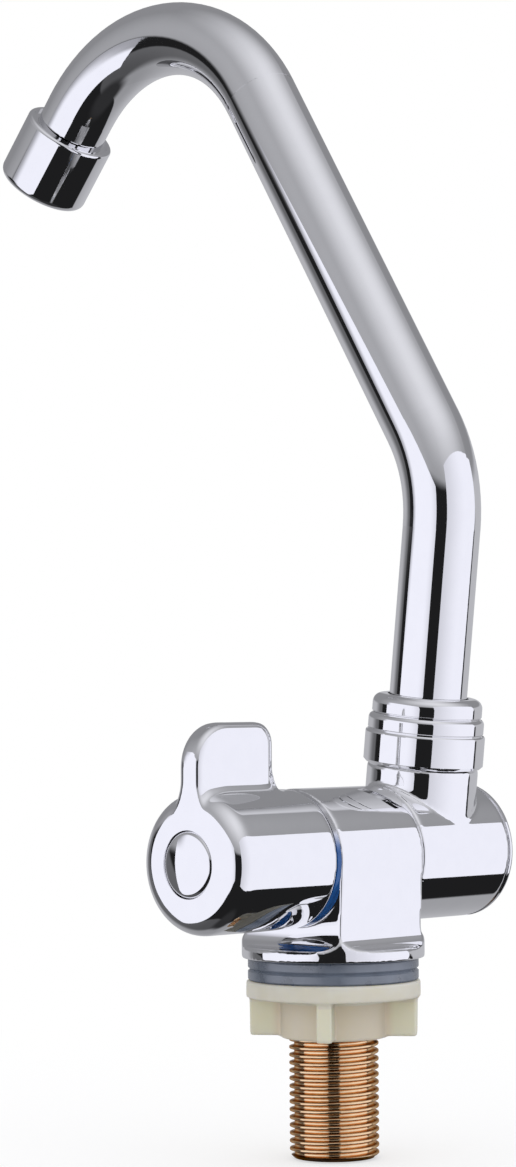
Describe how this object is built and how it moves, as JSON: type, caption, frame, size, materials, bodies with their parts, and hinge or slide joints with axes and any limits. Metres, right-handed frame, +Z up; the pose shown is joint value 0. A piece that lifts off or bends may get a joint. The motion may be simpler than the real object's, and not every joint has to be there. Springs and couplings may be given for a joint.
{
  "type": "folding tap",
  "caption": "Folding deck tap with a paddle knob, a level barrel, a bent spout that folds flat and swivels, and a winged nut on its threaded shank.",
  "frame": {"origin": "centre of the base gasket's underside, where the tap sits on the worktop", "axes": "+Z up along the threaded shank's axis; Y along the barrel, with the knob towards -Y and the folding spout towards +Y; the upright spout reaches towards -X"},
  "size_m": [0.1638, 0.0946, 0.2888],
  "materials": {
    "chrome": "polished",
    "raw_brass": "satin",
    "turned_brass": "satin",
    "nylon": "satin",
    "acetal": "satin",
    "grey_plastic": "satin",
    "blue_plastic": "gloss",
    "gasket_rubber": "satin",
    "black_rubber": "satin",
    "ceramic": "gloss",
    "steel": "satin"
  },
  "bodies": {
    "body": {"threaded_shank": "raw_brass", "tap_body": "chrome", "base_gasket": "gasket_rubber", "seat_seal": "black_rubber", "valve_housing": "turned_brass", "fixed_disc": "ceramic", "index_ring": "blue_plastic", "pivot_stem": "turned_brass", "pivot_o_rings": "black_rubber", "friction_washer": "acetal", "thrust_washer": "steel", "disc_spring": "steel", "pivot_nut": "turned_brass"},
    "knob": {"control_knob": "chrome", "knob_screw": "steel", "knob_cap": "chrome", "valve_spindle": "turned_brass", "moving_disc": "ceramic", "spindle_o_ring": "black_rubber", "spindle_circlip": "steel"},
    "swivel": {"swivel_body": "chrome", "swivel_end_cap": "chrome", "collar_nut": "chrome", "spout_washer": "acetal", "spout_bush": "acetal"},
    "spout": {"spout_tube": "chrome", "spout_spigot": "turned_brass", "spout_o_rings": "black_rubber", "nozzle_shell": "chrome", "aerator_washer": "black_rubber", "aerator_insert": "grey_plastic", "aerator_mesh": "steel"},
    "nut": {"fixing_nut": "nylon"}
  },
  "joints": [
    {"name": "knob_turn", "type": "hinge", "parent": "body", "child": "knob", "pos_m": [0, -0.03, 0.0286], "axis": [0, -1, 0], "range_deg": [0, 90]},
    {"name": "spout_fold", "type": "hinge", "parent": "body", "child": "swivel", "pos_m": [0, 0.0295, 0.0286], "axis": [0, 1, 0], "range_deg": [-96.66, 83.34]},
    {"name": "spout_swivel", "type": "hinge", "parent": "swivel", "child": "spout", "pos_m": [0, 0.0295, 0.0286], "axis": [0.116, 0, 0.9933], "continuous": true},
    {"name": "nut_travel", "type": "slide", "parent": "body", "child": "nut", "axis": [0, 0, -1], "range_m": [0, 0.025]}
  ]
}
